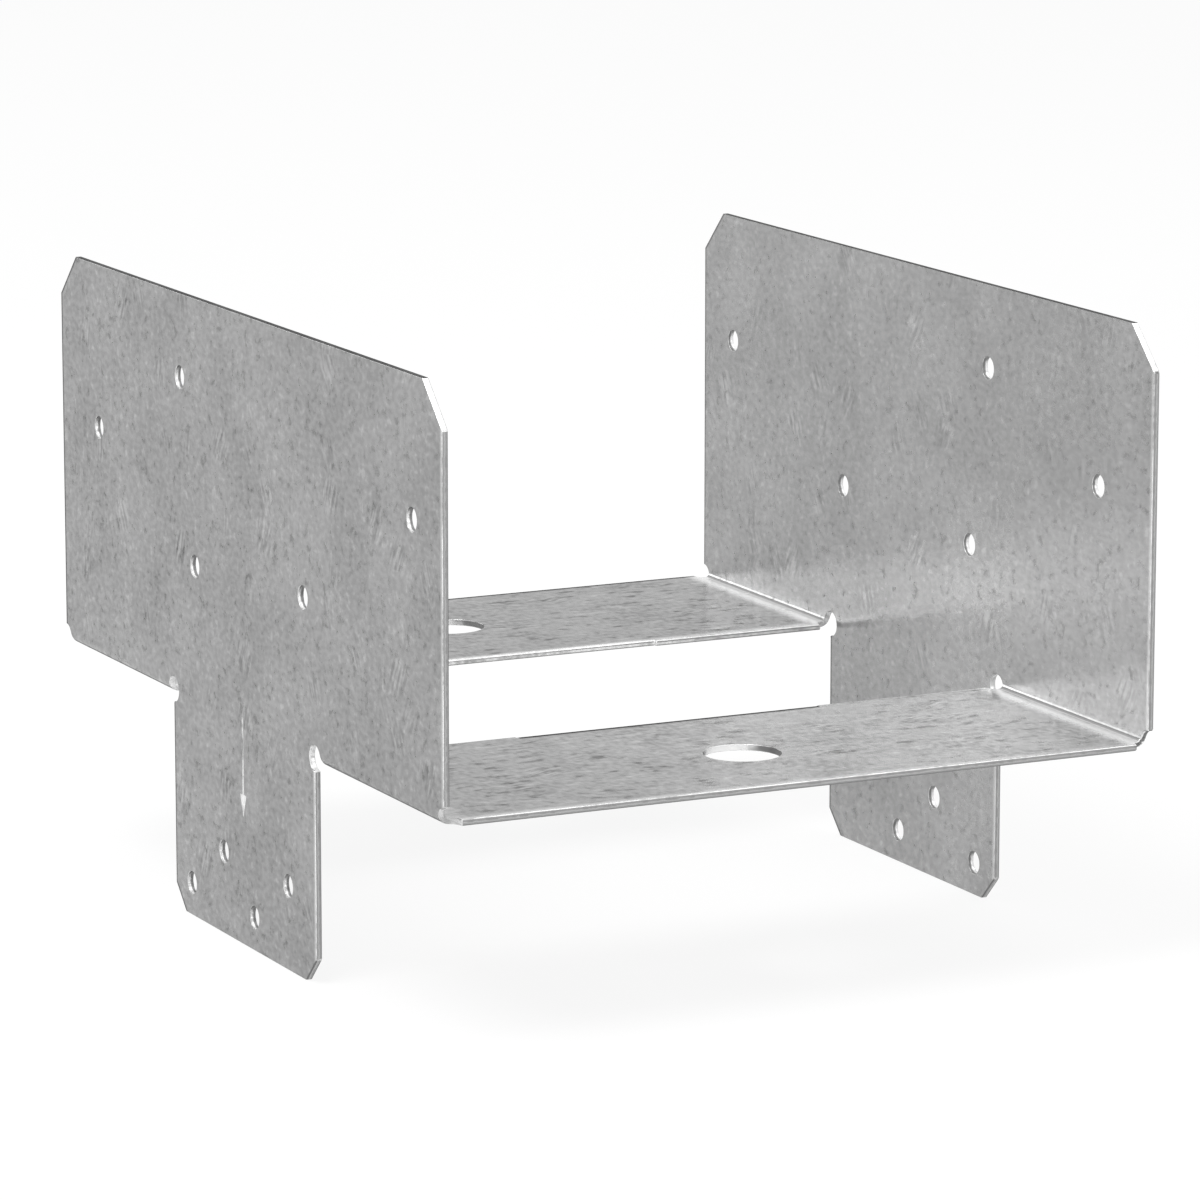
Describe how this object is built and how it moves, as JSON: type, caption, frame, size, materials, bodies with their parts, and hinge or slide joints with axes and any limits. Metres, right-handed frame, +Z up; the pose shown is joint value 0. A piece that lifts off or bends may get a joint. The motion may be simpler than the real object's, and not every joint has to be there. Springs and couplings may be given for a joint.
{
  "type": "column cap",
  "caption": "Folded galvanised steel cap that seats a timber beam on a timber post: side plates, base straps and hanging tabs from one sheet, with nail and bolt holes.",
  "frame": {"origin": "middle of the post's top: on the underside of the straps, halfway between the strap holes", "axes": "+X across the beam, +Y along the beam, +Z up"},
  "size_m": [0.1422, 0.1778, 0.1187],
  "materials": {
    "galvanised_sheet": "hot-dip galvanised, satin, with fine streaks along the rolling direction"
  },
  "bodies": {
    "root": {"cap_body": "galvanised_sheet"}
  },
  "joints": []
}
